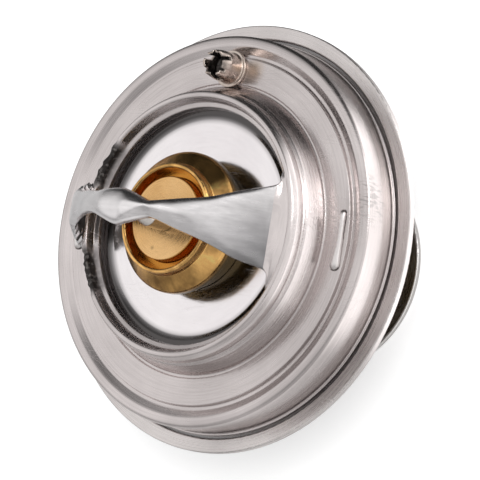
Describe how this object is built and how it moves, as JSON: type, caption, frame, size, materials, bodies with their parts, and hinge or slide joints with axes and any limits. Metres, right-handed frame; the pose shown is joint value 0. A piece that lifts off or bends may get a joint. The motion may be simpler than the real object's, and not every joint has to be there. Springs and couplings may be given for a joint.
{
  "type": "engine thermostat",
  "caption": "Wax thermostat insert: round flange and stamped bridge cup carry a spring-loaded poppet valve, brass wax capsule, bypass disc and vent valve.",
  "frame": {"origin": "centre of the flange's underside, on the valve axis, where the flange seats in its housing", "axes": "+Z along the valve axis towards the bridge; +X along the bridge strap towards its wide foot; +Y towards the vent valve"},
  "size_m": [0.067, 0.067, 0.0537],
  "materials": {
    "satin_stainless": "satin pickled stainless sheet",
    "drawn_stainless": "bright drawn stainless sheet",
    "mirror_plate": "mirror-polished stainless",
    "polished_steel": "ground and polished steel",
    "spring_steel": "drawn stainless spring wire",
    "nickel_tube": "rolled nickel-plated tube",
    "capsule_brass": "turned brass with light tarnish",
    "insert_brass": "machined bright brass",
    "black_rubber": "moulded black rubber",
    "backup_ptfe": "white fluoropolymer ring",
    "wax": "expansion wax with copper powder"
  },
  "bodies": {
    "housing": {"flange_plate": "satin_stainless", "bridge_cup": "drawn_stainless", "stirrup": "drawn_stainless", "piston_pin": "polished_steel", "vent_tube": "nickel_tube", "main_spring": "spring_steel"},
    "capsule": {"valve_plate": "mirror_plate", "spring_ring": "drawn_stainless", "capsule_cup": "capsule_brass", "guide_insert": "insert_brass", "backup_ring": "backup_ptfe", "rubber_sleeve": "black_rubber", "wax_charge": "wax", "bypass_stem": "capsule_brass", "spring_cup": "drawn_stainless", "end_washer": "polished_steel", "bypass_spring": "spring_steel"},
    "bypass": {"bypass_disc": "satin_stainless"},
    "vent": {"vent_ball": "polished_steel"}
  },
  "joints": [
    {"name": "valve_lift", "type": "slide", "parent": "housing", "child": "capsule", "axis": [0, 0, -1], "range_m": [0, 0.008], "stiffness_N_per_m": 2600, "springref_m": -0.015, "deforming": ["main_spring"]},
    {"name": "bypass_slide", "type": "slide", "parent": "capsule", "child": "bypass", "axis": [0, 0, 1], "range_m": [0, 0.0035], "stiffness_N_per_m": 4700, "springref_m": -0.003, "deforming": ["bypass_spring"]},
    {"name": "vent_ball_lift", "type": "slide", "parent": "housing", "child": "vent", "axis": [0, 0, 1], "range_m": [0, 0.0012]}
  ]
}
